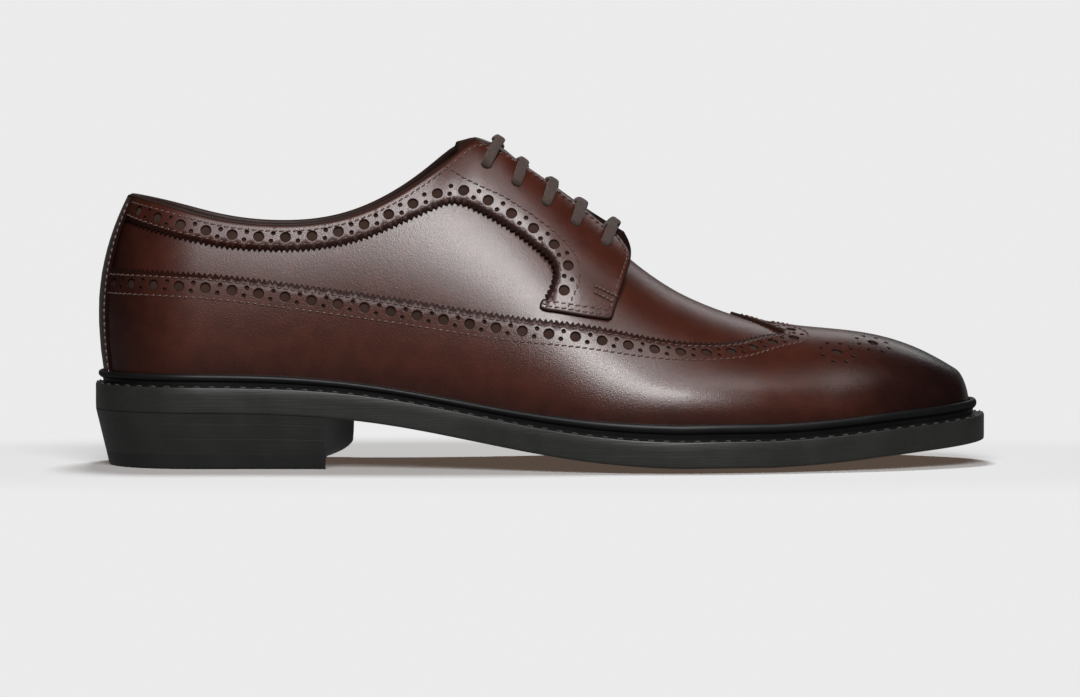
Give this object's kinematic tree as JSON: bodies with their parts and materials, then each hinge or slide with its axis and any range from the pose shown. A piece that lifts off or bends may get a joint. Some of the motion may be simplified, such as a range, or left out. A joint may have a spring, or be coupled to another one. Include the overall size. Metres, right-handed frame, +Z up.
{
  "type": "derby shoe",
  "caption": "Longwing brogue derby shoe for a right foot: hollow leather upper with open-laced facings, tongue and straight-bar lacing on a welted leather sole with a stacked heel.",
  "frame": {"origin": "on the floor, at the middle of the shoe's box seen from above", "axes": "+X towards the toe, +Y towards the inner (medial) side of the foot, +Z up"},
  "size_m": [0.307, 0.1028, 0.1132],
  "materials": {
    "upper_calf": "polished brown calf, burnished darker at the toe and heel",
    "lining_leather": "matt dark brown lining",
    "welt_leather": "satin black",
    "sole_leather": "satin black edge, brown underneath",
    "heel_leather": "satin black edge",
    "top_piece_rubber": "matt black",
    "lace_cotton": "flat woven grey-brown lace, matt"
  },
  "bodies": {
    "root": {"upper": "upper_calf", "facing_lateral": "upper_calf", "facing_medial": "upper_calf", "tongue": "upper_calf", "insole": "lining_leather", "welt": "welt_leather", "outsole": "sole_leather", "heel_stack": "heel_leather", "heel_top_piece": "top_piece_rubber", "lace_bar_1": "lace_cotton", "lace_bar_2": "lace_cotton", "lace_bar_3": "lace_cotton", "lace_bar_4": "lace_cotton", "lace_bar_5": "lace_cotton"}
  },
  "joints": []
}
